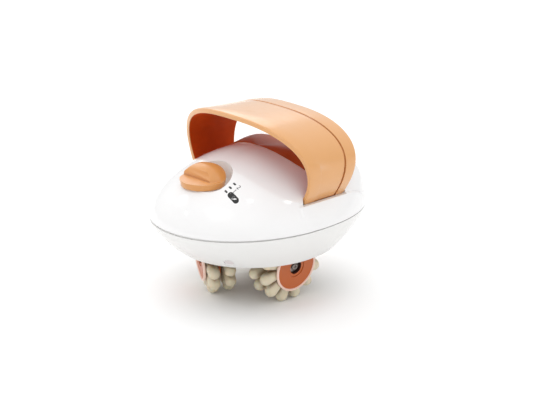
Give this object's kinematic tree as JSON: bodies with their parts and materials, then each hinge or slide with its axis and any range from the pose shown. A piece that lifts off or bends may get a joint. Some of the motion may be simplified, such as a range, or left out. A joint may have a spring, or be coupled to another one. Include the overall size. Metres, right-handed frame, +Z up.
{
  "type": "body massager",
  "caption": "Handheld body massager: egg-shaped casing with a strap handle, a three-step dial on the nose and a driven turret of knobbed rollers beneath.",
  "frame": {"origin": "on the floor under the vertical axis of the roller turret, at the centre of the outline seen from above", "axes": "+Z up, -Y towards the nose with the dial, +X to the side where the dial has its marks"},
  "size_m": [0.1314, 0.16, 0.1304],
  "materials": {
    "shell_white": "glossy moulded",
    "shell_grey": "glossy moulded, slightly greyer",
    "strap_peach": "satin moulded",
    "pad_brown": "soft moulded inlay",
    "plug_grey": "matte plug",
    "dial_peach": "satin moulded",
    "black_plastic": "matte",
    "board_green": "lacquered board",
    "motor_can": "drawn can",
    "plate_steel": "zinc plated sheet",
    "screw_steel": "zinc plated",
    "screw_bright": "bright plated",
    "pinion_brass": "machined",
    "gear_nylon": "natural moulded",
    "pin_steel": "ground",
    "clip_steel": "blackened spring steel",
    "carrier_cream": "moulded",
    "roller_orange": "satin moulded",
    "knob_cream": "soft milky silicone"
  },
  "bodies": {
    "casing": {"upper_casing": "shell_white", "lower_casing": "shell_grey", "roller_well": "shell_grey", "handle_band": "strap_peach", "palm_pad": "pad_brown", "handle_screws": "screw_steel", "casing_screws": "screw_steel", "screw_plugs": "plug_grey", "rotary_switch": "black_plastic", "circuit_board": "board_green", "dc_jack": "black_plastic", "motor": "motor_can", "motor_plate": "plate_steel", "plate_screws": "screw_steel", "gear_pin": "pin_steel", "shaft_bush": "pinion_brass"},
    "dial": {"dial_knob": "dial_peach", "switch_shaft": "black_plastic"},
    "turret": {"turret_carrier": "carrier_cream", "turret_shaft": "pin_steel", "turret_gear": "gear_nylon", "shaft_clip": "clip_steel", "roller_1_axle": "pin_steel", "roller_1_screw": "screw_bright", "roller_2_axle": "pin_steel", "roller_2_screw": "screw_bright", "roller_3_axle": "pin_steel", "roller_3_screw": "screw_bright"},
    "idler": {"compound_gear": "gear_nylon"},
    "pinion": {"motor_pinion": "pinion_brass"},
    "roller_1": {"roller_1_core": "roller_orange", "roller_1_knobs": "knob_cream", "roller_1_cap": "roller_orange"},
    "roller_2": {"roller_2_core": "roller_orange", "roller_2_knobs": "knob_cream", "roller_2_cap": "roller_orange"},
    "roller_3": {"roller_3_core": "roller_orange", "roller_3_knobs": "knob_cream", "roller_3_cap": "roller_orange"}
  },
  "joints": [
    {"name": "dial_turn", "type": "hinge", "parent": "casing", "child": "dial", "pos_m": [0, -0.05, 0.0911], "axis": [0, 0, 1], "range_deg": [0, 19]},
    {"name": "turret_spin", "type": "hinge", "parent": "casing", "child": "turret", "pos_m": [0, 0, 0.0582], "axis": [0, 0, 1], "continuous": true},
    {"name": "gear_spin", "type": "hinge", "parent": "casing", "child": "idler", "pos_m": [0.01516, 0.03375, 0.069], "axis": [0, 0, 1], "continuous": true},
    {"name": "motor_spin", "type": "hinge", "parent": "casing", "child": "pinion", "pos_m": [0, 0.048, 0.066], "axis": [0, 0, 1], "continuous": true},
    {"name": "roller_1_spin", "type": "hinge", "parent": "turret", "child": "roller_1", "pos_m": [0.02933, -0.00102, 0.02678], "axis": [0.9908, -0.0346, -0.1305], "continuous": true},
    {"name": "roller_2_spin", "type": "hinge", "parent": "turret", "child": "roller_2", "pos_m": [-0.01555, -0.02489, 0.02678], "axis": [-0.5254, -0.8408, -0.1305], "continuous": true},
    {"name": "roller_3_spin", "type": "hinge", "parent": "turret", "child": "roller_3", "pos_m": [-0.01378, 0.02591, 0.02678], "axis": [-0.4655, 0.8754, -0.1305], "continuous": true}
  ],
  "couplings": [
    {"joint": "gear_spin", "follows": "turret_spin", "ratio": -4.2857},
    {"joint": "motor_spin", "follows": "turret_spin", "ratio": 14.286}
  ]
}
